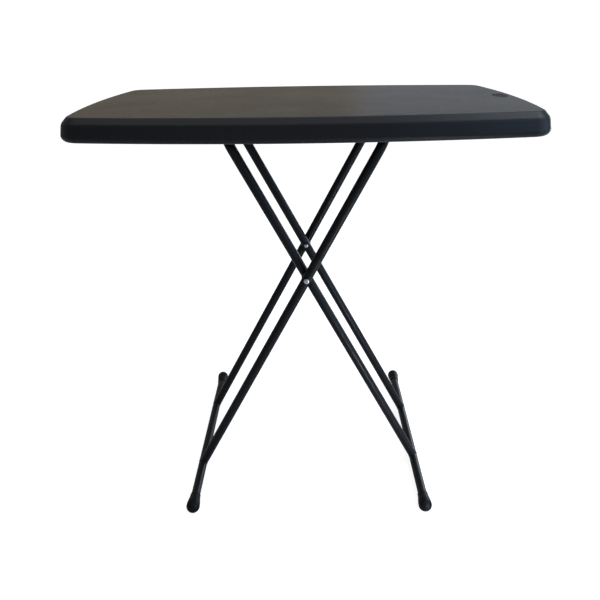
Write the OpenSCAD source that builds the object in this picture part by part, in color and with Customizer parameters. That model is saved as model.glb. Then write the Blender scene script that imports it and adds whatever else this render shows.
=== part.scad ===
// Folding side table: a blow-moulded top on two crossed tube frames.
// The inner frame turns in two saddles under the left half of the top. The outer frame's
// top tube slides in two notched racks under the right half, which set the height.
// Millimetres, +X to the right, +Y to the rear, +Z up, origin on the floor under the middle.

/* [Top] */
// Length of the top, left to right
top_l = 752; // [620:2:900]
// Width of the top, front to back
top_w = 497; // [420:1:560]
// Thickness of the top at its rim
top_t = 36; // [34:1:37]
// Thickness of the panel inside the rim
panel_t = 22; // [19:1:26]
// Width of the rim, seen from below
rim_w = 24; // [18:1:28]
// How far the long edges bow outwards
bow_long = 34; // [12:1:40]
// How far the short edges bow outwards
bow_short = 20; // [8:1:26]
// Radius of the four corners
corner_r = 36; // [32:1:60]
// Width of the rounded shoulder round the flat top
shoulder_w = 12.5; // [8:0.5:16]
// Height of the rounded shoulder
shoulder_h = 13; // [8:0.5:14]
// Slope at which the shoulder leaves the flat top, in degrees
shoulder_slope = 16; // [8:1:40]
// How far the skirt leans outwards from the shoulder down to the rim
skirt_draft = 2.5; // [0:0.5:4]
// Radius of the rim's lower edge
lower_round = 9.5; // [4:0.5:12]
// Length of the plain oval pad near the right end
pad_l = 56; // [30:1:80]
// Width of the plain oval pad
pad_w = 24; // [12:1:36]
// Depth of the plain oval pad
pad_depth = 0.6; // [0.3:0.1:1.5]
// Distance from the right end to the middle of the oval pad
pad_in = 35; // [30:1:60]

/* [Tack-offs] */
// Distance between tack-offs along a row
tack_pitch = 56; // [44:2:90]
// Radius of a tack-off at its mouth
tack_r = 9; // [5:0.5:11]
// Radius of a tack-off at its tip
tack_tip_r = 5; // [2:0.5:5]
// Depth of a tack-off
tack_depth = 15; // [6:0.5:16]

/* [Leg frames] */
// Outer diameter of every tube
tube_d = 17; // [14:0.5:18]
// Wall thickness of every tube
tube_wall = 1.2; // [0.8:0.1:2]
// Angle of the legs above the floor at the tallest setting
leg_angle = 61.8; // [56:0.1:66]
// Leg length from the crossing to the top tube
upper_arm = 288; // [260:1:320]
// Leg length from the crossing to the foot bar
lower_arm = 463; // [400:1:500]
// Distance between the inner frame's two legs
inner_w = 172; // [170:2:220]
// Gap between an inner leg and the outer leg beside it
frame_gap = 3.5; // [1.8:0.1:5]
// Bend radius of the frames' top corners
bend_r = 32; // [26:1:36]
// Length of a foot bar between the middles of its ball ends
foot_bar_l = 465; // [420:1:540]
// Depth of the frames' top tubes below the table's surface
pivot_drop = 46; // [46:1:52]

/* [Foot caps] */
// Diameter of a foot cap's ball end
ball_d = 25; // [22:0.5:30]
// Length of a foot cap from its mouth to the middle of its ball
cap_l = 29; // [22:1:40]
// Wall of a foot cap at its mouth
cap_wall = 1.2; // [0.8:0.1:2]
// Depth of solid rubber between the bar's end and the middle of the ball
cap_plug = 5; // [2:0.5:10]

/* [Crossing rivets] */
// Diameter of a rivet's shank
rivet_d = 6; // [5:0.5:8]
// Diameter of a rivet's outer head
rivet_head_d = 11; // [10.5:0.5:15]
// Height of a rivet's outer head above the tube
rivet_head_h = 2.75; // [2:0.25:4]
// Diameter of the hollow in the middle of the outer head
rivet_hollow_d = 4; // [2:0.5:4.5]
// Diameter of the riveted-over inner end
clinch_d = 8.5; // [8:0.5:11]
// Height of the riveted-over inner end
clinch_h = 2; // [1.5:0.25:3]
// Diameter of the curved washer under the inner end
washer_d = 14; // [12:0.5:15]
// Thickness of the curved washer at its middle
washer_t = 1; // [0.8:0.1:2]
// Diameter of the nylon spacer between the legs
spacer_d = 18; // [12:0.5:22]

/* [Pivot saddles] */
// Distance of each saddle from the middle of the table
saddle_y = 38; // [30:1:42]
// Width of a saddle strap
saddle_w = 18; // [14:1:22]
// Thickness of a saddle strap
saddle_t = 2; // [1.5:0.25:3]
// Length of a saddle's screwed foot
saddle_foot = 16; // [14:1:22]
// Width of the split bush inside a saddle
bush_w = 24; // [20:1:28]
// Wall of the split bush
bush_wall = 2; // [1.5:0.25:3]
// Width of the bush's slit
bush_slit = 3; // [1.5:0.5:5]

/* [Height racks] */
// Distance of each rack's upright wall from the middle of the table
rack_y = 60; // [48:1:66]
// Thickness of the rack's steel
rack_t = 2.5; // [2:0.25:3.5]
// Width of the rack's screwed flange
rack_flange = 20; // [16:1:26]
// Number of height settings
settings = 4; // [2:1:5]
// Drop of the top from one setting to the next
setting_step = 50; // [40:2:54]
// Depth of a notch above the lane
notch_rise = 6; // [3:0.5:7]
// Play of the top tube in the lane and its notches
lane_play = 1; // [0.5:0.1:1.5]
// Height of the lip under the lane
lip_h = 6; // [4:0.5:10]
// Length of steel before the first notch
rack_tail = 12; // [8:1:20]
// Length of steel after the last notch
rack_nose = 16; // [12:1:30]
// Depth of the flare at the lane's open end
flare = 3; // [0:0.5:4]
// Screws in each rack
rack_screw_count = 3; // [2:1:4]

/* [Screws] */
// Diameter of a screw's shank
screw_d = 4; // [3.5:0.25:5]
// Diameter of a screw's head
screw_head_d = 9; // [7:0.5:10]
// Height of a screw's head
screw_head_h = 2.6; // [2:0.2:3.5]
// Length of a screw below its head
screw_l = 16; // [12:0.5:18]

/* [Hidden] */
$fn = 64;

// Fits: a tight seat, a running fit, a screw in its pilot hole and a spacer beside a leg
seat_gap = 0.05;
run_gap = 0.08;
pilot_gap = 0.05;
spacer_gap = 0.2;

// Heights and places that follow from the leg frames
tube_r = tube_d / 2;
ball_r = ball_d / 2;
lean = 90 - leg_angle;
crossing_z = ball_r + lower_arm * sin(leg_angle);
pivot_z = crossing_z + upper_arm * sin(leg_angle);
pivot_x = upper_arm * cos(leg_angle);
table_z = pivot_z + pivot_drop;
floor_z = table_z - panel_t;
rim_z = table_z - top_t;
inner_y = inner_w / 2;
outer_y = inner_y + tube_d + frame_gap;
spacer_t = frame_gap - 2 * spacer_gap;
foot_y = foot_bar_l / 2;

// The bowed outline of the top is four wide arcs joined by four corner arcs
half_l = top_l / 2;
half_w = top_w / 2;
long_r = (half_l * half_l + bow_long * bow_long) / (2 * bow_long);
short_r = (half_w * half_w + bow_short * bow_short) / (2 * bow_short);
long_c = [0, half_w - long_r];
short_c = [half_l - short_r, 0];
corner_c = circles_meet(long_c, long_r - corner_r, short_c, short_r - corner_r);
corner_from = bearing(corner_c - short_c);
corner_to = bearing(corner_c - long_c);
short_steps = 6;
corner_steps = 10;
long_steps = 14;

// Centres of the saddle screws, out from the pivot axis
bush_r = tube_r + run_gap + bush_wall;
strap_r = bush_r + seat_gap;
saddle_screw_x = strap_r + saddle_t + saddle_foot / 2;

// Length of the racks and the row of screws in them
rack_x0 = notch_x(0) - tube_r - lane_play - rack_tail;
rack_x1 = notch_x(settings - 1) + tube_r + lane_play + rack_nose;
lane_r = tube_r + lane_play;
rack_bottom = -lane_r - lip_h;
rack_top = floor_z - pivot_z;
rack_screw_y = rack_y - rack_flange / 2;

// Colours of the photographed finishes
moulded = [0.11, 0.105, 0.10];
powder_coat = [0.03, 0.03, 0.033];
cap_rubber = [0.02, 0.02, 0.022];
bright_steel = [0.72, 0.72, 0.70];
zinc = [0.55, 0.56, 0.58];
nylon = [0.10, 0.10, 0.10];

function bearing(v) = atan2(v.y, v.x);

// The point to the right and rear where two circles meet
function circles_meet(a, ra, b, rb) =
    let (d = norm(b - a), e = (b - a) / d, s = (ra * ra - rb * rb + d * d) / (2 * d))
    a + s * e + sqrt(ra * ra - s * s) * [e.y, -e.x];

function arc(c, r, from, to, first, last, steps) =
    [for (i = [first:last]) let (t = from + (to - from) * i / steps)
        c + r * [cos(t), sin(t)]];

// A point of the curve between the first and last of four points, which leaves and ends
// along the lines to the two others
function curve_point(p, t) =
    pow(1 - t, 3) * p[0] + 3 * t * pow(1 - t, 2) * p[1] + 3 * t * t * (1 - t) * p[2] + pow(t, 3) * p[3];

// A quarter of the top's outline, drawn in by d, from the right end to the rear edge
function quarter(d) = concat(
    arc(short_c, short_r - d, 0, corner_from, 0, short_steps, short_steps),
    arc(corner_c, corner_r - d, corner_from, corner_to, 1, corner_steps - 1, corner_steps),
    arc(long_c, long_r - d, corner_to, 90, 0, long_steps, long_steps));

function outline(d) = let (q = quarter(d), n = len(q)) concat(
    q,
    [for (i = [n - 2:-1:0]) [-q[i].x, q[i].y]],
    [for (i = [1:n - 1]) [-q[i].x, -q[i].y]],
    [for (i = [n - 2:-1:1]) [q[i].x, -q[i].y]]);

// The edge from the flat top down to the flat rim, as how far each slice is drawn in and how
// far down it lies: a shoulder that curves from its slope into the skirt, then the lower
// round. The pull says how long the shoulder keeps to its slope, as a share of its size.
edge_steps = 6;
shoulder_end = [skirt_draft, shoulder_h];
skirt_way = [-skirt_draft, top_t - lower_round - shoulder_h];
shoulder_pull = 0.38;
shoulder_ease = shoulder_pull * norm([shoulder_w, 0] - shoulder_end);
shoulder_curve = [
    [shoulder_w, 0],
    [shoulder_w, 0] + shoulder_ease * [-cos(shoulder_slope), sin(shoulder_slope)],
    shoulder_end - shoulder_ease * skirt_way / norm(skirt_way),
    shoulder_end];
edge_slices = concat(
    [for (i = [0:edge_steps]) curve_point(shoulder_curve, i / edge_steps)],
    [for (i = [0:edge_steps]) let (t = 90 * i / edge_steps)
        [lower_round * (1 - cos(t)), top_t - lower_round * (1 - sin(t))]]);

// Where the outer frame's top tube lies at each height setting
function setting_angle(i) =
    asin(sin(leg_angle) - i * setting_step / (upper_arm + lower_arm));
function notch_x(i) = 2 * upper_arm * cos(setting_angle(i)) - pivot_x;
function rack_screw_x(i) =
    rack_x0 + (rack_x1 - rack_x0) * (i + 0.5) / rack_screw_count;

// Tack-offs keep clear of the rim and of the plain pads under the steel parts
tack_row = tack_pitch * sqrt(3) / 2;
tack_land = 5;
function in_panel(x, y) = let (d = rim_w + tack_r + tack_land)
    norm([abs(x), abs(y)] - long_c) < long_r - d && norm([abs(x), abs(y)] - short_c) < short_r - d;
function off_saddle(x, y) =
    abs(x + pivot_x) > saddle_screw_x + saddle_foot / 2 + tack_r + tack_land
    || abs(abs(y) - saddle_y) > bush_w / 2 + tack_r + tack_land;
function off_rack(x, y) =
    x < rack_x0 - tack_r - tack_land || x > rack_x1 + tack_r + tack_land
    || abs(abs(y) - rack_screw_y) > rack_flange / 2 + tack_r + tack_land;
tack_points = [
    for (row = [-ceil(half_w / tack_row):ceil(half_w / tack_row)])
        for (i = [-ceil(half_l / tack_pitch):ceil(half_l / tack_pitch)])
            let (x = (i + (row % 2 == 0 ? 0 : 0.5)) * tack_pitch, y = row * tack_row)
                if (in_panel(x, y) && off_saddle(x, y) && off_rack(x, y)) [x, y]
];

// Screw places, as x and y under the top
saddle_screw_points =
    [for (side = [-1, 1]) for (end = [-1, 1]) [-pivot_x + end * saddle_screw_x, side * saddle_y]];
rack_screw_points =
    [for (side = [-1, 1]) for (i = [0:rack_screw_count - 1]) [rack_screw_x(i), side * rack_screw_y]];

// A cylinder along Y, from y = a to y = b
module along_y(r, a, b) {
    translate([0, a, 0]) rotate([-90, 0, 0]) cylinder(r = r, h = b - a);
}

// The frames' own planes: leg upwards along Z, crossing at the origin
module in_inner_frame() {
    translate([0, 0, crossing_z]) rotate([0, -lean, 0]) children();
}

module in_outer_frame() {
    translate([0, 0, crossing_z]) rotate([0, lean, 0]) children();
}

// The moulded top: a rounded slab, hollowed below inside its rim, with tack-offs
// pressed up from below, a plain oval pad on top and pilot holes for the screws
module tabletop() {
    color(moulded) difference() {
        rounded_slab();
        translate([0, 0, rim_z - 1])
            linear_extrude(top_t - panel_t + 1) polygon(outline(rim_w));
        for (p = tack_points)
            translate([p.x, p.y, floor_z]) tack_off();
        for (p = concat(saddle_screw_points, rack_screw_points))
            translate([p.x, p.y, floor_z - 1])
                cylinder(d = screw_d + 2 * pilot_gap, h = screw_l - min(saddle_t, rack_t) + 2);
        translate([half_l - pad_in, 0, table_z - pad_depth])
            linear_extrude(pad_depth + 1) oval(pad_w, pad_l);
    }
}

// The slab's skin, drawn ring by ring from the flat top round to the flat rim
module rounded_slab() {
    n = len(outline(0));
    last = len(edge_slices) - 1;
    rings = [for (s = edge_slices) for (p = outline(s[0])) [p.x, p.y, table_z - s[1]]];
    sides = [for (k = [0:last - 1]) for (i = [0:n - 1])
        let (j = (i + 1) % n, a = k * n, b = (k + 1) * n)
            each [[a + i, a + j, b + i], [a + j, b + j, b + i]]];
    top_face = [[for (i = [n - 1:-1:0]) i]];
    rim_face = [[for (i = [0:n - 1]) last * n + i]];
    polyhedron(rings, concat(top_face, sides, rim_face));
}

module tack_off() {
    cylinder(r1 = tack_r, r2 = tack_tip_r, h = tack_depth);
    translate([0, 0, -1]) cylinder(r = tack_r, h = 1);
}

module oval(w, l) {
    polygon([for (t = [0:7.5:352.5]) [w / 2 * cos(t), l / 2 * sin(t)]]);
}

// A bent tube frame: two legs joined by a top tube, open at the foot end, where each leg
// is cut to sit on the foot bar. The crossing rivets pass through both legs.
module u_tube(leg_y, hole_gap) {
    difference() {
        tube_run(leg_y, tube_r, 0);
        tube_run(leg_y, tube_r - tube_wall, 1);
        translate([0, 0, -lower_arm]) along_y(tube_r + seat_gap, -leg_y - tube_d, leg_y + tube_d);
        for (side = [-1, 1])
            translate([0, side * leg_y, 0])
                along_y(rivet_d / 2 + hole_gap, -tube_d, tube_d);
    }
}

// The solid path of a frame's tube at radius r, longer by extra at the foot end
module tube_run(leg_y, r, extra) {
    straight_y = leg_y - bend_r;
    bend_z = upper_arm - bend_r;
    for (side = [0, 1]) mirror([0, side, 0]) {
        translate([0, leg_y, bend_z]) mirror([0, 0, 1]) cylinder(r = r, h = bend_z + lower_arm + extra);
        translate([0, straight_y, bend_z]) rotate([90, 0, 90])
            rotate_extrude(angle = 90) translate([bend_r, 0]) circle(r = r);
    }
    translate([0, 0, upper_arm]) along_y(r, -straight_y, straight_y);
}

module inner_leg_tube() {
    color(powder_coat) in_inner_frame() u_tube(inner_y, run_gap);
}

module outer_leg_tube() {
    color(powder_coat) in_outer_frame() u_tube(outer_y, seat_gap);
}

// The bar that joins a frame's feet, open at both ends inside the caps
module foot_bar() {
    bar_end = foot_y - cap_plug - seat_gap;
    color(powder_coat) translate([0, 0, -lower_arm]) difference() {
        along_y(tube_r, -bar_end, bar_end);
        along_y(tube_r - tube_wall, -bar_end - 1, bar_end + 1);
    }
}

// A moulded cap that flares from the bar into the ball that the table stands on
module foot_cap(side) {
    mouth_r = tube_r + seat_gap + cap_wall;
    flare_steps = 10;
    ball_steps = 12;
    profile = concat(
        [[0, -cap_plug], [tube_r + seat_gap, -cap_plug], [tube_r + seat_gap, -cap_l]],
        [for (i = [0:flare_steps]) let (t = i / flare_steps)
            [mouth_r + (ball_r - mouth_r) * (1 - cos(180 * t)) / 2, -cap_l * (1 - t)]],
        [for (i = [1:ball_steps]) let (t = 90 * i / ball_steps)
            [ball_r * cos(t), ball_r * sin(t)]]);
    color(cap_rubber) translate([0, side * foot_y, -lower_arm]) rotate([-90 * side, 0, 0])
        rotate_extrude() polygon(profile);
}

// The rivet through a pair of legs: a domed head seated on the outer leg, and an inner
// end riveted over against its washer
module pivot_rivet(side) {
    clinch_y = inner_y - tube_r - washer_t - seat_gap;
    head_y = outer_y + tube_r;
    color(bright_steel) in_outer_frame() mirror([0, side < 0 ? 1 : 0, 0]) {
        difference() {
            union() {
                along_y(rivet_d / 2, clinch_y - clinch_h / 2, head_y);
                difference() {
                    along_y(rivet_head_d / 2, outer_y, head_y);
                    translate([0, outer_y, -rivet_head_d])
                        cylinder(r = tube_r + seat_gap, h = 2 * rivet_head_d);
                }
                translate([0, head_y, 0]) rotate([-90, 0, 0]) dome(rivet_head_d / 2, rivet_head_h);
                translate([0, clinch_y, 0]) rotate([90, 0, 0]) dome(clinch_d / 2, clinch_h);
            }
            along_y(rivet_hollow_d / 2, head_y + rivet_head_h / 3, head_y + rivet_head_h + 1);
        }
    }
}

// A low round head of radius r and height h, flat below
module dome(r, h) {
    dome_steps = 8;
    rotate_extrude() polygon(concat([[0, 0]],
        [for (i = [0:dome_steps]) let (t = 90 * i / dome_steps)
            [i == dome_steps ? 0 : r * cos(t), h * (0.25 + 0.75 * sin(t))]]));
    cylinder(r = r, h = h * 0.25);
}

// A steel washer curved to the inner leg, under the rivet's inner end
module rivet_washer(side) {
    flat_y = inner_y - tube_r - washer_t;
    color(bright_steel) in_inner_frame() mirror([0, side < 0 ? 1 : 0, 0]) difference() {
        along_y(washer_d / 2, flat_y, inner_y);
        translate([0, inner_y, -washer_d]) cylinder(r = tube_r + seat_gap, h = 2 * washer_d);
        along_y(rivet_d / 2 + run_gap, flat_y - 1, inner_y + 1);
    }
}

// A nylon spacer that keeps the painted legs apart
module leg_spacer(side) {
    middle_y = inner_y + tube_r + frame_gap / 2;
    color(nylon) in_inner_frame() mirror([0, side < 0 ? 1 : 0, 0]) difference() {
        along_y(spacer_d / 2, middle_y - spacer_t / 2, middle_y + spacer_t / 2);
        along_y(rivet_d / 2 + run_gap, middle_y - spacer_t, middle_y + spacer_t);
    }
}

// A split nylon bush that snaps over the inner frame's top tube, flat against the top
module pivot_bush(side) {
    color(nylon) translate([-pivot_x, side * saddle_y + bush_w / 2, pivot_z]) rotate([90, 0, 0])
        linear_extrude(bush_w) difference() {
            union() {
                circle(r = bush_r);
                translate([-bush_r, 0]) square([2 * bush_r, floor_z - pivot_z]);
            }
            circle(r = tube_r + run_gap);
            translate([-bush_slit / 2, -bush_r - 1]) square([bush_slit, bush_r + 1]);
        }
}

// A steel strap bent round the bush, with a screwed foot on each side
module pivot_saddle(side) {
    wrap_r = strap_r + saddle_t;
    rise = floor_z - pivot_z;
    reach = wrap_r + saddle_foot;
    color(zinc) difference() {
        translate([-pivot_x, side * saddle_y + saddle_w / 2, pivot_z]) rotate([90, 0, 0])
            linear_extrude(saddle_w) difference() {
                union() {
                    circle(r = wrap_r);
                    translate([-wrap_r, 0]) square([2 * wrap_r, rise]);
                    translate([-reach, rise - saddle_t]) square([2 * reach, saddle_t]);
                }
                circle(r = strap_r);
                translate([-strap_r, 0]) square([2 * strap_r, rise + 1]);
            }
        for (end = [-1, 1])
            translate([-pivot_x + end * saddle_screw_x, side * saddle_y, floor_z - saddle_t - 1])
                cylinder(d = screw_d + 4 * seat_gap, h = saddle_t + 2);
    }
}

// A steel angle screwed under the top. Its upright wall has a lane for the outer frame's
// top tube, open at the outer end, and a notch above the lane for each height.
module height_rack(side) {
    color(zinc) difference() {
        union() {
            translate([0, side * rack_y + rack_t / 2, pivot_z]) rotate([90, 0, 0])
                linear_extrude(rack_t) rack_wall();
            translate([rack_x0, side > 0 ? rack_y - rack_flange : -rack_y, floor_z - rack_t])
                cube([rack_x1 - rack_x0, rack_flange, rack_t]);
        }
        for (i = [0:rack_screw_count - 1])
            translate([rack_screw_x(i), side * rack_screw_y, floor_z - rack_t - 1])
                cylinder(d = screw_d + 4 * seat_gap, h = rack_t + 2);
    }
}

// The upright wall of a rack, with Y up and the pivot height at zero
module rack_wall() {
    chamfer = lip_h - flare > 2 ? 2 : 0;
    difference() {
        polygon([[rack_x0, rack_bottom + rack_tail / 2], [rack_x0 + rack_tail / 2, rack_bottom],
            [rack_x1 - chamfer, rack_bottom], [rack_x1, rack_bottom + chamfer],
            [rack_x1, rack_top], [rack_x0, rack_top]]);
        translate([notch_x(0), 0]) circle(r = lane_r);
        translate([notch_x(0), -lane_r]) square([rack_x1 - notch_x(0) + 1, 2 * lane_r]);
        polygon([[rack_x1 + 1, -lane_r - flare], [rack_x1 + 1, 0], [rack_x1 - rack_nose, 0],
            [rack_x1 - rack_nose, -lane_r]]);
        for (i = [0:settings - 1]) translate([notch_x(i), 0]) {
            translate([0, notch_rise]) circle(r = lane_r);
            translate([-lane_r, 0]) square([2 * lane_r, notch_rise]);
        }
    }
}

// Pan-head screws that hold the steel to the top, driven from below
module screws(points, plate_t) {
    color(bright_steel) for (p = points) translate([p.x, p.y, floor_z - plate_t]) {
        cylinder(d = screw_d, h = screw_l);
        difference() {
            mirror([0, 0, 1]) cylinder(d1 = screw_head_d, d2 = screw_head_d * 0.6, h = screw_head_h);
            for (turn = [0, 90]) rotate(turn)
                translate([-screw_head_d / 4, -0.5, -screw_head_h - 1])
                    cube([screw_head_d / 2, 1, screw_head_h / 2 + 1]);
        }
    }
}

tabletop();
pivot_bush(-1);  // pivot_bush_front
pivot_bush(1);  // pivot_bush_rear
pivot_saddle(-1);  // pivot_saddle_front
pivot_saddle(1);  // pivot_saddle_rear
height_rack(-1);  // height_rack_front
height_rack(1);  // height_rack_rear
screws(saddle_screw_points, saddle_t);  // saddle_screws
screws(rack_screw_points, rack_t);  // rack_screws
inner_leg_tube();
in_inner_frame() foot_bar();  // inner_foot_bar
in_inner_frame() foot_cap(-1);  // inner_foot_cap_front
in_inner_frame() foot_cap(1);  // inner_foot_cap_rear
leg_spacer(-1);  // leg_spacer_front
leg_spacer(1);  // leg_spacer_rear
rivet_washer(-1);  // rivet_washer_front
rivet_washer(1);  // rivet_washer_rear
outer_leg_tube();
in_outer_frame() foot_bar();  // outer_foot_bar
in_outer_frame() foot_cap(-1);  // outer_foot_cap_front
in_outer_frame() foot_cap(1);  // outer_foot_cap_rear
pivot_rivet(-1);  // pivot_rivet_front
pivot_rivet(1);  // pivot_rivet_rear
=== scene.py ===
import math

import bmesh
import bpy
from mathutils import Matrix, Vector, geometry


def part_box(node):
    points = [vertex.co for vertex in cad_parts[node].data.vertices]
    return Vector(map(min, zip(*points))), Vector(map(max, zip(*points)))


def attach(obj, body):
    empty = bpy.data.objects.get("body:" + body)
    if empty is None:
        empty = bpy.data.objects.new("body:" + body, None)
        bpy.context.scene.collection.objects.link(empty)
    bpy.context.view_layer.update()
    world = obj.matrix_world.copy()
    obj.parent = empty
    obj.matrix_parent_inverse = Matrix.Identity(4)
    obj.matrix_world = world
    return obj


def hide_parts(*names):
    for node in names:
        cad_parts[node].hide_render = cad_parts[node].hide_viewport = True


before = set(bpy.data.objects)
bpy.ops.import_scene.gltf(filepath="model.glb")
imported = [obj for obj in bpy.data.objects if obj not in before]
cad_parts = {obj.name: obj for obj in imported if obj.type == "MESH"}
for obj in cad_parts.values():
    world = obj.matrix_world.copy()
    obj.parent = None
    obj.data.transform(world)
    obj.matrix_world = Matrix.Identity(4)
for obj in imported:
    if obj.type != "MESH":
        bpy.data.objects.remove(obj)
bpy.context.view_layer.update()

# Camera. It stands 1.1 m in front of the middle of the table, a little above the top, and looks
# down at 24 degrees, as in the photograph. Its place was fitted to the outline, tubes and feet.
MM = 0.001
camera_place = Vector((2.238, -1119.908, 839.001)) * MM
yaw, pitch, roll = -0.01423, 0.42485, -0.01637
focal_px, photo_px, sensor_w = 609.675, 600, 36
ahead = Vector((math.sin(yaw) * math.cos(pitch), math.cos(yaw) * math.cos(pitch), -math.sin(pitch)))
level_right = Vector((math.cos(yaw), -math.sin(yaw), 0))
level_up = level_right.cross(ahead)
right = math.cos(roll) * level_right + math.sin(roll) * level_up
up = math.cos(roll) * level_up - math.sin(roll) * level_right
camera = bpy.data.objects.new("camera", bpy.data.cameras.new("camera"))
camera.data.sensor_width = sensor_w
camera.data.lens = sensor_w * focal_px / photo_px
camera.data.clip_start, camera.data.clip_end = 0.05, 50
turn = Matrix((right, up, -ahead)).transposed().to_4x4()
camera.matrix_world = Matrix.Translation(camera_place) @ turn
bpy.context.scene.collection.objects.link(camera)
bpy.context.scene.camera = camera
bpy.context.scene.view_settings.view_transform = "Standard"


# Studio. A pale sweep of paper runs under the table and up behind it. It shows white, and
# keeps the soft shadow under the feet. Seen from below it is clear, so that the underside shows.
def linked(name, mesh, *materials):
    """A piece of the scene, from its mesh and its materials."""
    piece = bpy.data.objects.new(name, mesh)
    for material in materials:
        mesh.materials.append(material)
    bpy.context.scene.collection.objects.link(piece)
    return piece


def smooth_mesh(bm, name):
    """A bmesh made into a mesh that is smooth all over. The bmesh is freed."""
    for face in bm.faces:
        face.smooth = True
    mesh = bpy.data.meshes.new(name)
    bm.to_mesh(mesh)
    bm.free()
    return mesh


def verts_of(parts):
    """The vertices among the parts of a mesh."""
    return [part for part in parts if isinstance(part, bmesh.types.BMVert)]


def finish_of(name):
    """A new material, its nodes and its links, and its Principled shader."""
    material = bpy.data.materials.new(name)
    material.use_nodes = True
    nodes, links = material.node_tree.nodes, material.node_tree.links
    return material, nodes, links, nodes["Principled BSDF"]


def feed(links, value, socket):
    """Gives a socket its value, which is another socket or a plain number or colour."""
    if isinstance(value, bpy.types.NodeSocket):
        links.new(value, socket)
    else:
        socket.default_value = value


def reckoned(nodes, links, operation, *values):
    """The result of a sum on sockets and plain numbers."""
    node = nodes.new("ShaderNodeMath")
    node.operation = operation
    for value, socket in zip(values, node.inputs):
        feed(links, value, socket)
    return node.outputs[0]


def ramped(nodes, links, source, low, high):
    """A value between low and high, as the source goes from 0 to 1."""
    node = nodes.new("ShaderNodeMapRange")
    node.inputs["To Min"].default_value = low
    node.inputs["To Max"].default_value = high
    links.new(source, node.inputs["Value"])
    return node.outputs["Result"]


# The paper glows up to white for the camera, and faintly in what the table mirrors.
camera_glow, mirror_glow = 0.84, 0.07
paper, nodes, links, shader = finish_of("studio_paper")
shader.inputs["Base Color"].default_value = (0.6, 0.6, 0.6, 1)
shader.inputs["Roughness"].default_value = 0.9
shader.inputs["Specular IOR Level"].default_value = 0.1
path = nodes.new("ShaderNodeLightPath")
mirrored = reckoned(nodes, links, "MAXIMUM", path.outputs["Is Glossy Ray"],
                    path.outputs["Is Transmission Ray"])
dimmed = reckoned(nodes, links, "MULTIPLY", mirrored, mirror_glow)
shining = reckoned(nodes, links, "MULTIPLY_ADD", path.outputs["Is Camera Ray"], camera_glow, dimmed)
glow = nodes.new("ShaderNodeEmission")
glow.inputs["Color"].default_value = (1, 1, 1, 1)
links.new(shining, glow.inputs["Strength"])
lit = nodes.new("ShaderNodeAddShader")
links.new(shader.outputs[0], lit.inputs[0])
links.new(glow.outputs[0], lit.inputs[1])
side_seen = nodes.new("ShaderNodeNewGeometry")
clear = nodes.new("ShaderNodeBsdfTransparent")
one_way = nodes.new("ShaderNodeMixShader")
links.new(side_seen.outputs["Backfacing"], one_way.inputs[0])
links.new(lit.outputs[0], one_way.inputs[1])
links.new(clear.outputs[0], one_way.inputs[2])
links.new(one_way.outputs[0], nodes["Material Output"].inputs["Surface"])

# The sweep's sizes are in metres. It bends upwards behind the table and ends in a wall.
sweep_half, sweep_front, bend_y, bend_r, wall_h = 7, -5, 2.6, 1.2, 4
bm = bmesh.new()
near_edge = bm.verts.new((-sweep_half, sweep_front, 0))
far_edge = bm.verts.new((-sweep_half, bend_y, 0))
bm.edges.new((near_edge, far_edge))
bmesh.ops.spin(bm, geom=[far_edge], cent=(-sweep_half, bend_y, bend_r), axis=(1, 0, 0),
               dvec=(0, 0, 0), angle=math.radians(90), steps=20, use_merge=False)
wall_foot = max(bm.verts, key=lambda v: v.co.z)
raised = bmesh.ops.extrude_vert_indiv(bm, verts=[wall_foot])["verts"]
bmesh.ops.translate(bm, verts=raised, vec=(0, 0, wall_h))
drawn = bmesh.ops.extrude_edge_only(bm, edges=bm.edges[:])["geom"]
bmesh.ops.translate(bm, verts=verts_of(drawn), vec=(2 * sweep_half, 0, 0))
for face in bm.faces:
    upright = abs(face.normal.z) < 0.01
    turned_away = face.normal.y > 0 if upright else face.normal.z < 0
    if turned_away:
        face.normal_flip()
sweep = linked("studio_sweep", smooth_mesh(bm, "studio_sweep"), paper)

# The room shows white too, and lights the table only weakly.
room_light = 0.22
world = bpy.data.worlds.new("studio")
bpy.context.scene.world = world
world.use_nodes = True
nodes, links = world.node_tree.nodes, world.node_tree.links
room = nodes["Background"]
room.inputs["Color"].default_value = (0.97, 0.98, 1.0, 1)
path = nodes.new("ShaderNodeLightPath")
room_shining = ramped(nodes, links, path.outputs["Is Camera Ray"], room_light, 1)
links.new(room_shining, room.inputs["Strength"])


def softbox(name, place, aim, size, power, colour):
    """A soft lamp at a place in metres, aimed at another, which the camera doesn't see."""
    lamp = bpy.data.lights.new(name, "AREA")
    lamp.shape = "RECTANGLE"
    lamp.size, lamp.size_y = size
    lamp.energy = power
    lamp.color = colour
    held = bpy.data.objects.new(name, lamp)
    held.location = place
    held.rotation_euler = (Vector(aim) - Vector(place)).to_track_quat("-Z", "Y").to_euler()
    held.visible_camera = False
    bpy.context.scene.collection.objects.link(held)


# Together the lamps light the table at a plain level. The flat top mirrors the two behind it,
# warm at the left and neutral at the right, and its shoulder mirrors those overhead. The window
# and the edge light cool the right end, and the other two lift the front and the nearest cap.
softbox("overhead", (0, 0.1, 2.6), (0, 0.1, 0), (3.4, 2.3), 26, (0.97, 0.98, 1.0))
softbox("overhead_right", (1.35, -0.1, 2.2), (0.3, -0.1, 0.7), (0.9, 0.9), 15, (0.74, 0.87, 1.0))
softbox("warm_rear", (-1.0, 2.8, 1.2), (0, 0, 0.8), (3.0, 0.8), 2.6, (1.0, 0.66, 0.17))
softbox("neutral_rear", (1.35, 2.5, 1.2), (0, 0, 0.8), (2.3, 0.8), 2.8, (0.90, 0.94, 1.0))
softbox("window", (1.75, -0.85, 1.1), (0.1, -0.1, 0.6), (2.2, 1.9), 25, (0.46, 0.70, 1.0))
softbox("edge_light", (1.45, 1.5, 0.5), (0.2, 0, 0.6), (0.8, 0.8), 12, (0.85, 0.92, 1.0))
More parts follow.
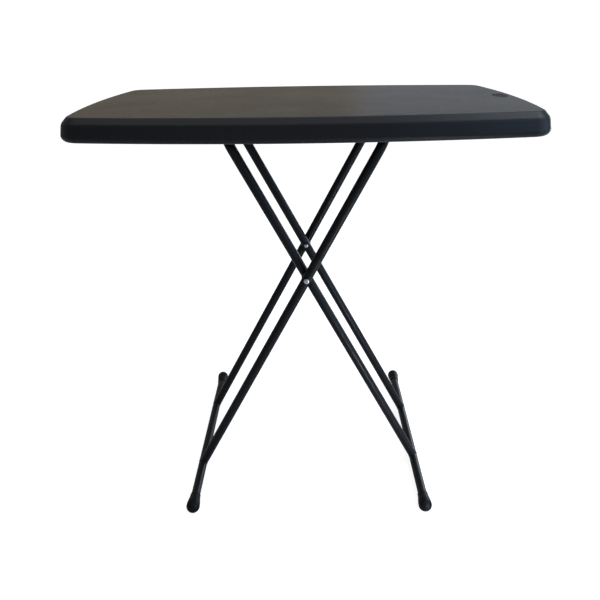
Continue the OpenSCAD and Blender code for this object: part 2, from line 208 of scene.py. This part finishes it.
softbox("fill", (0, -2.6, 0.8), (0, 0, 0.4), (3.2, 1.2), 2.7, (0.95, 0.97, 1.0))
softbox("kicker", (0.42, -0.52, 0.12), (0.23, -0.24, 0.02), (0.12, 0.12), 1.7, (0.85, 0.92, 1.0))

# Moulded top. The real one is blow-moulded polyethylene, two skins joined at a rolled rim.
# Its underside is hollowed inside the rim and has rows of tack-offs pressed up into it.
top_low, top_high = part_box("tabletop")
half_l, half_w, table_z, rim_z = top_high.x, top_high.y, top_high.z, top_low.z
bow_long, bow_short, corner_r = 34 * MM, 20 * MM, 36 * MM
shoulder_w, shoulder_h = 12.5 * MM, 10 * MM
skirt_draft, lower_r = 3.05 * MM, 9.5 * MM
crest_reach, knee_reach = 1.6 * MM, 3.2 * MM
rim_w, recess, inner_r = 24 * MM, 14 * MM, 3 * MM
# Each edge of the outline is one shallow arc, and each corner is an arc that touches two.
long_r = (half_l ** 2 + bow_long ** 2) / (2 * bow_long)
short_r = (half_w ** 2 + bow_short ** 2) / (2 * bow_short)
long_c = Vector((0, half_w - long_r))
short_c = Vector((half_l - short_r, 0))
corner_c = max(geometry.intersect_sphere_sphere_2d(long_c, long_r - corner_r,
                                                   short_c, short_r - corner_r),
               key=lambda p: p.x + p.y)
short_turn = math.atan2(corner_c.y - short_c.y, corner_c.x - short_c.x)
long_turn = math.pi / 2 - math.atan2(corner_c.y - long_c.y, corner_c.x - long_c.x)
corner_turn = math.pi / 2 - short_turn - long_turn


def line_through(bm, points):
    """Draws a line of edges through points, as a section to spin, and gives its parts."""
    verts = [bm.verts.new(point) for point in points]
    return verts + [bm.edges.new(pair) for pair in zip(verts, verts[1:])]


def softened(before, corner, after, reach, count):
    """Points on a curve that rounds a corner and starts and ends at a reach from it."""
    pull = 0.6
    start = corner + reach * (before - corner).normalized()
    end = corner + reach * (after - corner).normalized()
    return list(geometry.interpolate_bezier(start, start.lerp(corner, pull),
                                            end.lerp(corner, pull), end, count))


def quarter_turn(steps):
    """The angles of a quarter turn in even steps, with both its ends."""
    return [math.radians(90 * step / steps) for step in range(steps + 1)]


# The section of the edge, as how far in from the widest line and how far down each point is.
# The flat shoulder turns into the drafted skirt, then come the two rounds of the rim.
top_t = table_z - rim_z
deck_edge, crest = Vector((2 * shoulder_w, 0)), Vector((shoulder_w, 0))
knee, widest = Vector((skirt_draft, shoulder_h)), Vector((0, top_t - lower_r))
section = softened(deck_edge, crest, knee, crest_reach, 5)
section += softened(crest, knee, widest, knee_reach, 8)
section += [Vector((lower_r * (1 - math.cos(a)), top_t - lower_r * (1 - math.sin(a))))
            for a in quarter_turn(12)]
section += [Vector((rim_w - inner_r * (1 - math.sin(a)), top_t - inner_r * (1 - math.cos(a))))
            for a in quarter_turn(5)]
section += [Vector((rim_w + inner_r * (1 - math.cos(a)),
                    top_t - recess + inner_r * (1 - math.sin(a)))) for a in quarter_turn(5)]

# The section is swept round the nine arcs of the outline, and the ends of the sweep are joined.
bm = bmesh.new()
swept = line_through(bm, [(half_l - point.x, 0, table_z - point.y) for point in section])
for centre, angle, steps in (
        (short_c, short_turn, 12), (corner_c, corner_turn, 18), (long_c, 2 * long_turn, 48),
        (corner_c * Vector((-1, 1)), corner_turn, 18), (-short_c, 2 * short_turn, 24),
        (-corner_c, corner_turn, 18), (-long_c, 2 * long_turn, 48),
        (corner_c * Vector((1, -1)), corner_turn, 18), (short_c, short_turn, 12)):
    swept = bmesh.ops.spin(bm, geom=swept, cent=(*centre, 0), axis=(0, 0, 1), dvec=(0, 0, 0),
                           angle=angle, steps=steps, use_merge=False)["geom_last"]
bmesh.ops.remove_doubles(bm, verts=bm.verts[:], dist=0.01 * MM)
open_edges = [e for e in bm.edges if e.is_boundary]
deck_ring = [e for e in open_edges if e.verts[0].co.z > table_z - 0.1 * MM]
mouths = [e for e in open_edges if e.verts[0].co.z < table_z - 0.1 * MM]

# The underside's tack-offs stand in staggered rows, clear of the rim and of the steel parts.
# Each goes up from a rounded mouth through a slanting wall to its end, given as radius and rise.
tack_pitch, tack_r, tack_land, mouth_round = 56 * MM, 9 * MM, 5 * MM, 1.2 * MM
tack_rings = ((8.6 * MM, 0.9 * MM), (5.4 * MM, 13.6 * MM), (4.0 * MM, 15.0 * MM))
tack_row = tack_pitch * math.sqrt(3) / 2
rows, columns = math.ceil(half_w / tack_row), math.ceil(half_l / tack_pitch)
steel_boxes = [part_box(n) for n in ("pivot_saddle_front", "pivot_saddle_rear", "pivot_bush_front",
                                   "pivot_bush_rear", "height_rack_front", "height_rack_rear")]


def clear_of_steel(x, y):
    """Whether a tack-off at a place leaves room for the saddles and the racks."""
    keep = tack_r + tack_land
    return all(x < low.x - keep or x > high.x + keep or y < low.y - keep or y > high.y + keep
               for low, high in steel_boxes)


def inside_rim(x, y):
    """Whether a tack-off at a place lies wholly inside the rim."""
    keep = rim_w + tack_r + tack_land
    spot = Vector((abs(x), abs(y)))
    return (spot - long_c).length < long_r - keep and (spot - short_c).length < short_r - keep


def ring_drawn(bm, radius, segments, place):
    """The edges of a circle drawn at a place."""
    verts = bmesh.ops.create_circle(bm, cap_ends=False, radius=radius, segments=segments,
                                    matrix=place)["verts"]
    return list(dict.fromkeys(e for v in verts for e in v.link_edges))


def ring_extruded(bm, ring):
    """Extrudes a level ring of edges on the spot, and gives the new vertices and the parts."""
    drawn = bmesh.ops.extrude_edge_only(bm, edges=ring)["geom"]
    return verts_of(drawn), drawn


def level_edges(parts, z):
    """The edges among the parts of a mesh that lie at a height."""
    return [part for part in parts if isinstance(part, bmesh.types.BMEdge)
            and all(abs(v.co.z - z) < 0.0001 * MM for v in part.verts)]


tacks = []
for row in range(-rows, rows + 1):
    for i in range(-columns, columns + 1):
        x, y = (i + (0.5 if row % 2 else 0)) * tack_pitch, row * tack_row
        if inside_rim(x, y) and clear_of_steel(x, y):
            mouth = ring_drawn(bm, tack_r + mouth_round, 16,
                               Matrix.Translation((x, y, rim_z + recess)))
            tacks.append((Vector((x, y, 0)), mouth))
            mouths += mouth
bmesh.ops.triangle_fill(bm, edges=mouths, use_beauty=True, use_dissolve=False, normal=(0, 0, -1))
for middle, ring in tacks:
    for radius, rise in tack_rings:
        before = (ring[0].verts[0].co - middle).xy.length
        verts, drawn = ring_extruded(bm, ring)
        bmesh.ops.scale(bm, vec=(radius / before, radius / before, 1), verts=verts,
                        space=Matrix.Translation(-middle))
        bmesh.ops.translate(bm, verts=verts, vec=(0, 0, rim_z + recess + rise - verts[0].co.z))
        ring = level_edges(drawn, verts[0].co.z)
    bmesh.ops.edgeloop_fill(bm, edges=ring)

# The plain oval pad is a shallow smooth recess near the right end of the top.
pad_w, pad_l, pad_depth, pad_in = 24 * MM, 56 * MM, 0.6 * MM, 35 * MM
pad_place = Matrix.Translation((half_l - pad_in, 0, table_z))
pad_rim = ring_drawn(bm, pad_l / 2, 64, pad_place @ Matrix.Diagonal((pad_w / pad_l, 1, 1, 1)))
bmesh.ops.triangle_fill(bm, edges=deck_ring + pad_rim, use_beauty=True, use_dissolve=False,
                        normal=(0, 0, 1))
verts, drawn = ring_extruded(bm, pad_rim)
bmesh.ops.translate(bm, verts=verts, vec=(0, 0, -pad_depth))
pad_floor = level_edges(drawn, verts[0].co.z)
bmesh.ops.edgeloop_fill(bm, edges=pad_floor)["faces"][0].material_index = 1
bmesh.ops.recalc_face_normals(bm, faces=bm.faces[:])
top_mesh = smooth_mesh(bm, "moulded_top")


# Finish of the moulded top: black polyethylene with a fine pebble, slightly uneven where the
# skin has shrunk over the tack-offs, and rubbed paler along its edges. The pebble's creases
# are darkened with painted shade.
def group_of(name, measures, masks):
    """A new shader node group that takes measures and gives masks, and its two end nodes."""
    made = bpy.data.node_groups.new(name, "ShaderNodeTree")
    made.interface.new_socket(name="Vector", in_out="INPUT", socket_type="NodeSocketVector")
    for title, value in measures.items():
        measure = made.interface.new_socket(name=title, in_out="INPUT",
                                            socket_type="NodeSocketFloat")
        measure.default_value = value
    for title in masks:
        made.interface.new_socket(name=title, in_out="OUTPUT", socket_type="NodeSocketFloat")
    return made, made.nodes.new("NodeGroupInput"), made.nodes.new("NodeGroupOutput")


def noise_of(nodes, links, where, scale, detail, roughness=0.5):
    """A noise that is read at a place."""
    node = nodes.new("ShaderNodeTexNoise")
    links.new(where, node.inputs["Vector"])
    feed(links, scale, node.inputs["Scale"])
    node.inputs["Detail"].default_value = detail
    node.inputs["Roughness"].default_value = roughness
    return node


def mask_of(nodes, links, source, none, full, blend="LINEAR"):
    """A mask that goes from 0 to 1 as the source goes from one value to another."""
    node = nodes.new("ShaderNodeMapRange")
    node.interpolation_type = blend
    node.inputs["From Min"].default_value = none
    node.inputs["From Max"].default_value = full
    links.new(source, node.inputs["Value"])
    return node.outputs["Result"]


# Edge wear: how far a rounded normal turns from the true one, broken up by noise.
edge_wear, entry, leave = group_of("edge_wear", {"Width": 1.5 * MM, "Patches": 60.0, "Amount": 0.5},
                                   ["Mask"])
nodes, links = edge_wear.nodes, edge_wear.links
rounded = nodes.new("ShaderNodeBevel")
rounded.samples = 4
links.new(entry.outputs["Width"], rounded.inputs["Radius"])
true_normal = nodes.new("ShaderNodeNewGeometry")
alike = nodes.new("ShaderNodeVectorMath")
alike.operation = "DOT_PRODUCT"
links.new(rounded.outputs[0], alike.inputs[0])
links.new(true_normal.outputs["Normal"], alike.inputs[1])
on_edge = mask_of(nodes, links, alike.outputs["Value"], 0.995, 0.86)
rubs = noise_of(nodes, links, entry.outputs["Vector"], entry.outputs["Patches"], 4)
in_patch = mask_of(nodes, links, rubs.outputs["Fac"], 0.38, 0.68)
both = reckoned(nodes, links, "MULTIPLY", on_edge, in_patch)
links.new(reckoned(nodes, links, "MULTIPLY", both, entry.outputs["Amount"]), leave.inputs["Mask"])

# Handling: broad cloudy patches where hands and dust have changed the shine.
handling, entry, leave = group_of("handling", {"Size": 8.0}, ["Cloud", "Specks"])
nodes, links = handling.nodes, handling.links
cloud = noise_of(nodes, links, entry.outputs["Vector"], entry.outputs["Size"], 5, 0.6)
specks = noise_of(nodes, links, entry.outputs["Vector"], 900, 2)
links.new(cloud.outputs["Fac"], leave.inputs["Cloud"])
links.new(mask_of(nodes, links, specks.outputs["Fac"], 0.62, 0.8), leave.inputs["Specks"])

# Pebble: rounded grains with fine creases between them, as moulded plastic has.
pebble, entry, leave = group_of("pebble", {"Grains": 700.0}, ["Height", "Creases"])
nodes, links = pebble.nodes, pebble.links
stir = noise_of(nodes, links, entry.outputs["Vector"], 350, 2)
shifted = nodes.new("ShaderNodeVectorMath")
shifted.operation = "MULTIPLY_ADD"
shifted.inputs[1].default_value = (1.2 * MM, 1.2 * MM, 1.2 * MM)
links.new(stir.outputs["Color"], shifted.inputs[0])
links.new(entry.outputs["Vector"], shifted.inputs[2])
grains = nodes.new("ShaderNodeTexVoronoi")
grains.feature = "SMOOTH_F1"
grains.inputs["Smoothness"].default_value = 0.5
links.new(shifted.outputs[0], grains.inputs["Vector"])
links.new(entry.outputs["Grains"], grains.inputs["Scale"])
domes = mask_of(nodes, links, grains.outputs["Distance"], 0.75, 0.1, "SMOOTHSTEP")
links.new(domes, leave.inputs["Height"])
links.new(reckoned(nodes, links, "SUBTRACT", 1, domes), leave.inputs["Creases"])


def own_place(nodes):
    """The object's own coordinates."""
    return nodes.new("ShaderNodeTexCoord").outputs["Object"]


def placed(nodes, links, group, **values):
    """A group in a material, reading the object's own coordinates."""
    node = nodes.new("ShaderNodeGroup")
    node.node_tree = group
    links.new(own_place(nodes), node.inputs["Vector"])
    for title, value in values.items():
        node.inputs[title].default_value = value
    return node


def tinted(nodes, links, mask, under, over):
    """A colour that goes from one to another by a mask. Each is a colour or a socket."""
    node = nodes.new("ShaderNodeMix")
    node.data_type = "RGBA"
    links.new(mask, node.inputs["Factor"])
    # This node has its two colours at 6 and 7, and the mixed one at 2.
    for value, socket in ((under, node.inputs[6]), (over, node.inputs[7])):
        feed(links, (*value, 1) if isinstance(value, tuple) else value, socket)
    return node.outputs[2]


def bumped(nodes, links, height, depth, strength, under=None):
    """A normal raised by a height, on top of another normal where one is given."""
    node = nodes.new("ShaderNodeBump")
    node.inputs["Distance"].default_value = depth
    node.inputs["Strength"].default_value = strength
    links.new(height, node.inputs["Height"])
    if under is not None:
        links.new(under, node.inputs["Normal"])
    return node.outputs["Normal"]


def uneven(nodes, links, scale, detail, depth):
    """A normal raised by a plain noise of a scale, a detail and a depth."""
    noise = noise_of(nodes, links, own_place(nodes), scale, detail)
    return bumped(nodes, links, noise.outputs["Fac"], depth, 0.5)


def moulded_plastic(name, colour, shine, pebble_depth):
    """Blow-moulded polyethylene in a colour, with a roughness and the depth of its pebble."""
    handled, painted_crease_shade, rubbed = (tuple(c * share for c in colour) for share in (1.35, 0.55, 3.2))
    material, nodes, links, shader = finish_of(name)
    hands = placed(nodes, links, handling, Size=7.0)
    grain = placed(nodes, links, pebble, Grains=620.0)
    wear = placed(nodes, links, edge_wear, Width=2.5 * MM, Patches=45.0, Amount=0.35)
    body = tinted(nodes, links, hands.outputs["Cloud"], colour, handled)
    # The pebble's creases are darkened in the colour: this is painted shade.
    crease_shade_mask = ramped(nodes, links, grain.outputs["Creases"], 0, 0.35)
    crease_shaded = tinted(nodes, links, crease_shade_mask, body, painted_crease_shade)
    worn = tinted(nodes, links, wear.outputs["Mask"], crease_shaded, rubbed)
    links.new(worn, shader.inputs["Base Color"])
    drifting = ramped(nodes, links, hands.outputs["Cloud"], shine - 0.05, shine + 0.06)
    duller = ramped(nodes, links, grain.outputs["Creases"], 0, 0.08)
    links.new(reckoned(nodes, links, "ADD", drifting, duller), shader.inputs["Roughness"])
    sunk = uneven(nodes, links, 16, 1, 0.9 * MM)
    pebbled = bumped(nodes, links, grain.outputs["Height"], pebble_depth, 0.8, sunk)
    links.new(pebbled, shader.inputs["Normal"])
    shader.inputs["Specular IOR Level"].default_value = 0.18
    return material


def flat_shaded(piece):
    """Keeps the flat faces of a smooth piece flat, up to its sharp edges."""
    level = piece.modifiers.new("flat_faces", "WEIGHTED_NORMAL")
    level.keep_sharp = True


top_finish = moulded_plastic("moulded_top", (0.0098, 0.0102, 0.0121), 0.33, 0.10 * MM)
pad_finish = moulded_plastic("smooth_pad", (0.0082, 0.0084, 0.0096), 0.5, 0.02 * MM)
top = linked("moulded_top", top_mesh, top_finish, pad_finish)
flat_shaded(top)
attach(top, "top")
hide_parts("tabletop")


# Leg frames. Each is a bent steel tube with a foot bar welded across its ends, powder-coated
# black after welding. The coat is glossy with a slight orange peel, and thin on the edges.
def handled_finish(name, cloud_size, wear, shades, rubbed, shine, ripples, dust=None):
    """A finish that drifts between two shades and two roughnesses where hands have been. It is
    rubbed to another colour on its edges, rippled by a noise, and may have specks of dust."""
    material, nodes, links, shader = finish_of(name)
    hands = placed(nodes, links, handling, Size=cloud_size)
    worn = placed(nodes, links, edge_wear, **wear)
    coat = tinted(nodes, links, hands.outputs["Cloud"], *shades)
    if dust is not None:
        thin = ramped(nodes, links, hands.outputs["Specks"], 0, 0.25)
        coat = tinted(nodes, links, thin, coat, dust)
    links.new(tinted(nodes, links, worn.outputs["Mask"], coat, rubbed), shader.inputs["Base Color"])
    links.new(ramped(nodes, links, hands.outputs["Cloud"], *shine), shader.inputs["Roughness"])
    links.new(uneven(nodes, links, **ripples), shader.inputs["Normal"])
    return material, shader


powder, shader = handled_finish(
    "powder_coat", cloud_size=14.0, wear={"Width": 0.8 * MM, "Patches": 120.0, "Amount": 0.5},
    shades=((0.0068, 0.0069, 0.0077), (0.0102, 0.0103, 0.0114)), dust=(0.02, 0.0195, 0.0195),
    rubbed=(0.03, 0.029, 0.028), shine=(0.26, 0.38),
    ripples={"scale": 480, "detail": 1, "depth": 0.05 * MM})
shader.inputs["Specular IOR Level"].default_value = 0.14
for node in ("inner_leg_tube", "outer_leg_tube", "inner_foot_bar", "outer_foot_bar"):
    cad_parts[node].material_slots[0].material = powder

# Welds. A bead of weld runs round the saddle where each leg meets its foot bar. It is coated
# with the frame, and its ripples show where the arc was moved along.
tube_r, ball_r, lower_arm = 8.5 * MM, 12.5 * MM, 463 * MM
bead_r, bead_points, bead_ripples, ripple_share = 0.8 * MM, 96, 24, 0.1
leg_angle = 61.8
lean = math.radians(90 - leg_angle)
crossing_z = ball_r + lower_arm * math.cos(lean)
frame_places = {side: Matrix.Translation((0, 0, crossing_z)) @ Matrix.Rotation(tilt, 4, "Y")
                for side, tilt in (("inner", -lean), ("outer", lean))}
for side, leg_y in (("inner", 86 * MM), ("outer", 106.5 * MM)):
    bead = bpy.data.curves.new(side + "_welds", "CURVE")
    bead.dimensions = "3D"
    bead.bevel_depth = bead_r
    bead.bevel_resolution = 3
    for y in (-leg_y, leg_y):
        run = bead.splines.new("POLY")
        run.points.add(bead_points - 1)
        run.use_cyclic_u = True
        for i, point in enumerate(run.points):
            t = 2 * math.pi * i / bead_points
            point.co = (tube_r * math.cos(t), y + tube_r * math.sin(t),
                        -lower_arm + tube_r * abs(math.sin(t)), 1)
            point.radius = 1 + ripple_share * math.cos(t * bead_ripples)
    held = bpy.data.objects.new(side + "_welds", bead)
    bpy.context.scene.collection.objects.link(held)
    mesh = bpy.data.meshes.new_from_object(held)
    bpy.data.objects.remove(held)
    mesh.transform(frame_places[side])
    mesh.shade_smooth()
    welds = linked(side + "_welds", mesh, powder)
    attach(welds, side + "_frame")

# Foot caps. Each is a moulded rubber boot pushed over the end of a foot bar. It swells from
# a thin mouth into the ball that stands on the floor.
foot_y, cap_l, mouth_r = 232.5 * MM, 29 * MM, 9.75 * MM
lip_round, lip_h, inner_lip_h, bar_gap, sleeve = 0.4 * MM, 0.3 * MM, 0.2 * MM, 0.05 * MM, 6 * MM
rubber, shader = handled_finish(
    "cap_rubber", cloud_size=40.0, wear={"Width": 0.8 * MM, "Patches": 150.0, "Amount": 0.4},
    shades=((0.0042, 0.0045, 0.0052), (0.0072, 0.0075, 0.0087)), dust=(0.02, 0.0195, 0.0185),
    rubbed=(0.02, 0.02, 0.021), shine=(0.36, 0.5),
    ripples={"scale": 700, "detail": 2, "depth": 0.04 * MM})
shader.inputs["Specular IOR Level"].default_value = 0.09


def turned(name, section, steps, place):
    """A mesh spun round its axis from a section of radii and heights, and put in its place."""
    bm = bmesh.new()
    line = line_through(bm, [(radius, 0, height) for radius, height in section])
    bmesh.ops.spin(bm, geom=line, cent=(0, 0, 0), axis=(0, 0, 1), dvec=(0, 0, 0),
                   angle=2 * math.pi, steps=steps, use_merge=True)
    bmesh.ops.remove_doubles(bm, verts=bm.verts[:], dist=0.001 * MM)
    bmesh.ops.recalc_face_normals(bm, faces=bm.faces[:])
    bmesh.ops.transform(bm, matrix=place, verts=bm.verts[:])
    return smooth_mesh(bm, name)


# The section goes over the ball, down the swell to the mouth, round its lip and up inside.
swell_steps = 16
cap_section = [(ball_r * math.sin(a), ball_r * math.cos(a)) for a in quarter_turn(16)]
for i in range(1, swell_steps + 1):
    swell = (1 + math.cos(math.pi * i / swell_steps)) / 2
    cap_section.append((mouth_r + (ball_r - mouth_r) * swell, -cap_l * i / swell_steps))
cap_section += [(mouth_r - lip_round, -cap_l - lip_h), (tube_r + bar_gap, -cap_l - inner_lip_h),
                (tube_r + bar_gap, -cap_l + sleeve)]
for side in ("inner", "outer"):
    for end, name in ((-1, "front"), (1, "rear")):
        place = (frame_places[side] @ Matrix.Translation((0, end * foot_y, -lower_arm))
                 @ Matrix.Rotation(math.radians(-90 * end), 4, "X"))
        mesh = turned(f"{side}_cap_{name}", cap_section, 64, place)
        cap = linked(f"{side}_cap_{name}", mesh, rubber)
        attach(cap, side + "_frame")
        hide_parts(f"{side}_foot_cap_{name}")

# Crossing rivets. Each is a nickel-plated semi-tubular rivet. Its domed head has a small
# hollow in the middle, and its inner end is rolled over against a washer, coated like the legs.
shank_r, head_r, head_h, brim_h, hollow_r = 3 * MM, 4.9 * MM, 2.5 * MM, 2.1 * MM, 1.8 * MM
head_y, clinch_r, clinch_h, clinch_y = 115 * MM, 4.25 * MM, 2 * MM, 76.45 * MM
nickel, shader = handled_finish(
    "bright_steel", cloud_size=90.0, wear={"Width": 0.4 * MM, "Patches": 300.0, "Amount": 0.6},
    shades=((0.46, 0.46, 0.47), (0.64, 0.64, 0.64)), rubbed=(0.9, 0.9, 0.9), shine=(0.2, 0.34),
    ripples={"scale": 1500, "detail": 2, "depth": 0.03 * MM})
shader.inputs["Metallic"].default_value = 1
# The section goes round the rolled end, up the shank, out under the brim, over the dome and
# down into the hollow. Its heights from the dome's foot on are shares of the head's height.
dome_foot, hollow_mouth, hollow_foot, hollow_floor = 0.25, 0.88, 0.4, 0.33
rivet_section = [(clinch_r * math.sin(a), clinch_y - clinch_h * math.cos(a))
                 for a in quarter_turn(9)]
rivet_section += [(shank_r, clinch_y), (shank_r, head_y - brim_h), (head_r, head_y - brim_h),
                  (head_r, head_y)]
for degrees in range(0, 71, 7):
    a = math.radians(degrees)
    rise = dome_foot + (1 - dome_foot) * math.sin(a)
    rivet_section.append((head_r * math.cos(a), head_y + head_h * rise))
rivet_section += [(hollow_r, head_y + head_h * hollow_mouth),
                  (hollow_r * 0.9, head_y + head_h * hollow_foot),
                  (0, head_y + head_h * hollow_floor)]
for end, name in ((-1, "front"), (1, "rear")):
    place = frame_places["outer"] @ Matrix.Rotation(math.radians(-90 * end), 4, "X")
    mesh = turned(f"rivet_{name}", rivet_section, 48, place)
    mesh.set_sharp_from_angle(angle=math.radians(40))
    rivet = linked(f"rivet_{name}", mesh, nickel)
    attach(rivet, "outer_frame")
    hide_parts(f"pivot_rivet_{name}")
    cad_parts[f"rivet_washer_{name}"].material_slots[0].material = powder


# Steel under the top. Two saddles hold the inner frame's top tube and two notched racks
# take the outer frame's. They are pressed from plate with broken edges, then zinc-plated.
def broken_edges(node, name, width, segments, material):
    """A copy of a CAD node as one skin, with its sharp edges rounded off."""
    flat_turn, sharp_turn = math.radians(1), math.radians(35)
    bm = bmesh.new()
    bm.from_mesh(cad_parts[node].data)
    bmesh.ops.remove_doubles(bm, verts=bm.verts[:], dist=0.001 * MM)
    bmesh.ops.dissolve_limit(bm, angle_limit=flat_turn, verts=bm.verts[:], edges=bm.edges[:])
    sharp = [e for e in bm.edges if len(e.link_faces) == 2 and e.calc_face_angle() > sharp_turn]
    bmesh.ops.bevel(bm, geom=sharp, offset=width, offset_type="OFFSET", segments=segments,
                    profile=0.5, affect="EDGES", material=-1, clamp_overlap=True)
    for face in bm.faces:
        face.material_index = 0
    mesh = smooth_mesh(bm, name)
    mesh.set_sharp_from_angle(angle=sharp_turn)
    piece = linked(name, mesh, material)
    flat_shaded(piece)
    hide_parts(node)
    return piece


# The plating's crystals each have their own shade and roughness.
zinc, nodes, links, shader = finish_of("zinc_plate")
hands = placed(nodes, links, handling, Size=30.0)
wear = placed(nodes, links, edge_wear, Width=0.6 * MM, Patches=200.0, Amount=0.7)
spangle = nodes.new("ShaderNodeTexVoronoi")
spangle.inputs["Scale"].default_value = 260
links.new(own_place(nodes), spangle.inputs["Vector"])
crystal = nodes.new("ShaderNodeSeparateColor")
links.new(spangle.outputs["Color"], crystal.inputs[0])
plated = tinted(nodes, links, crystal.outputs[0], (0.46, 0.47, 0.49), (0.60, 0.61, 0.63))
dull = ramped(nodes, links, hands.outputs["Cloud"], 0, 0.5)
dulled = tinted(nodes, links, dull, plated, (0.36, 0.37, 0.38))
rubbed = tinted(nodes, links, wear.outputs["Mask"], dulled, (0.78, 0.78, 0.78))
links.new(rubbed, shader.inputs["Base Color"])
links.new(ramped(nodes, links, crystal.outputs[1], 0.34, 0.5), shader.inputs["Roughness"])
links.new(uneven(nodes, links, 900, 2, 0.04 * MM), shader.inputs["Normal"])
shader.inputs["Metallic"].default_value = 1
for name in ("front", "rear"):
    for kind, width in (("height_rack", 0.5 * MM), ("pivot_saddle", 0.4 * MM)):
        piece = broken_edges(f"{kind}_{name}", f"{kind}_{name}_plate", width, 3, zinc)
        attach(piece, "top")

# Screws. Pan-head steel screws with a cross recess, nickel-plated like the rivets. They go
# through the feet of the saddles and racks and are driven up into the moulded top.
for node in ("saddle_screws", "rack_screws"):
    piece = broken_edges(node, node + "_driven", 0.25 * MM, 2, nickel)
    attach(piece, "top")

# Nylon. A split bush lines each saddle, and a thin disc at each crossing keeps the painted
# legs apart. Both are moulded in black nylon with a dull, slightly waxy skin.
nylon, shader = handled_finish(
    "nylon", cloud_size=50.0, wear={"Width": 0.5 * MM, "Patches": 200.0, "Amount": 0.4},
    shades=((0.012, 0.012, 0.012), (0.02, 0.02, 0.02)), rubbed=(0.06, 0.06, 0.06),
    shine=(0.42, 0.58), ripples={"scale": 1100, "detail": 2, "depth": 0.03 * MM})
for name in ("front", "rear"):
    bush = broken_edges(f"pivot_bush_{name}", f"pivot_bush_{name}_nylon", 0.4 * MM, 2, nylon)
    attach(bush, "top")
    disc = broken_edges(f"leg_spacer_{name}", f"leg_spacer_{name}_nylon", 0.3 * MM, 2, nylon)
    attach(disc, "inner_frame")
